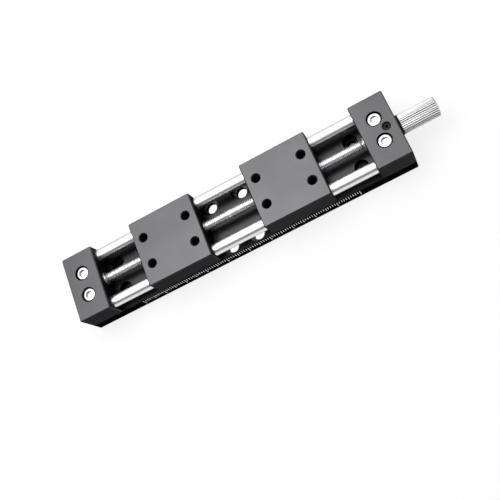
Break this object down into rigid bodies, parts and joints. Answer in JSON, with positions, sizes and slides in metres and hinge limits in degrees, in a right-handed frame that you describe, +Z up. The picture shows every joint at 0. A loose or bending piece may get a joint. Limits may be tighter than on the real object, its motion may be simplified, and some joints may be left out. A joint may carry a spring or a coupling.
{
  "type": "manual linear slide",
  "caption": "Narrow hand-driven linear slide: a knob turns an opposed-thread lead screw that moves the carriages apart or together along guide rods on a flat base.",
  "frame": {"origin": "middle of the base plate's underside", "axes": "+X along the slide towards the knob, +Y towards the back of the picture, +Z up, square to the base"},
  "size_m": [0.1649, 0.029, 0.017],
  "materials": {
    "black_anodised": "satin black anodised",
    "ground_steel": "hardened and ground",
    "bright_steel": "bright turned",
    "stainless": "bright stainless",
    "black_screws": "black oxide",
    "black_plastic": "moulded",
    "brass": "machined"
  },
  "bodies": {
    "fixed_body": {"base_plate": "black_anodised", "end_block_left": "black_anodised", "end_block_right": "black_anodised", "guide_rod_front": "ground_steel", "guide_rod_back": "ground_steel", "block_screws": "stainless", "rod_set_screws": "black_screws", "screw_bush_left": "stainless", "screw_bush_right": "stainless"},
    "drive": {"lead_screw": "bright_steel", "thrust_collar": "black_plastic", "knob": "bright_steel", "knob_grub_screw": "black_screws"},
    "left_carriage": {"carriage_left": "black_anodised", "lead_nut_left": "brass", "nut_set_screw_left": "black_screws"},
    "right_carriage": {"carriage_right": "black_anodised", "lead_nut_right": "brass", "nut_set_screw_right": "black_screws"},
    "lock": {"lock_screw": "black_screws"}
  },
  "joints": [
    {"name": "left_carriage_travel", "type": "slide", "parent": "fixed_body", "child": "left_carriage", "axis": [-1, 0, 0], "range_m": [-0.01155, 0.0189]},
    {"name": "right_carriage_travel", "type": "slide", "parent": "fixed_body", "child": "right_carriage", "axis": [1, 0, 0], "range_m": [-0.0116, 0.01895]},
    {"name": "knob_turn", "type": "hinge", "parent": "fixed_body", "child": "drive", "pos_m": [0.0745, 0, 0.01125], "axis": [-1, 0, 0], "range_deg": [-5945, 9725]},
    {"name": "lock_screw_turn", "type": "hinge", "parent": "fixed_body", "child": "lock", "pos_m": [0.0702, 0, 0.0158], "axis": [0, 0, 1], "range_deg": [-30, 360]}
  ],
  "couplings": [
    {"joint": "right_carriage_travel", "follows": "left_carriage_travel", "ratio": 1},
    {"joint": "knob_turn", "follows": "left_carriage_travel", "rad_per_m": 8976}
  ]
}
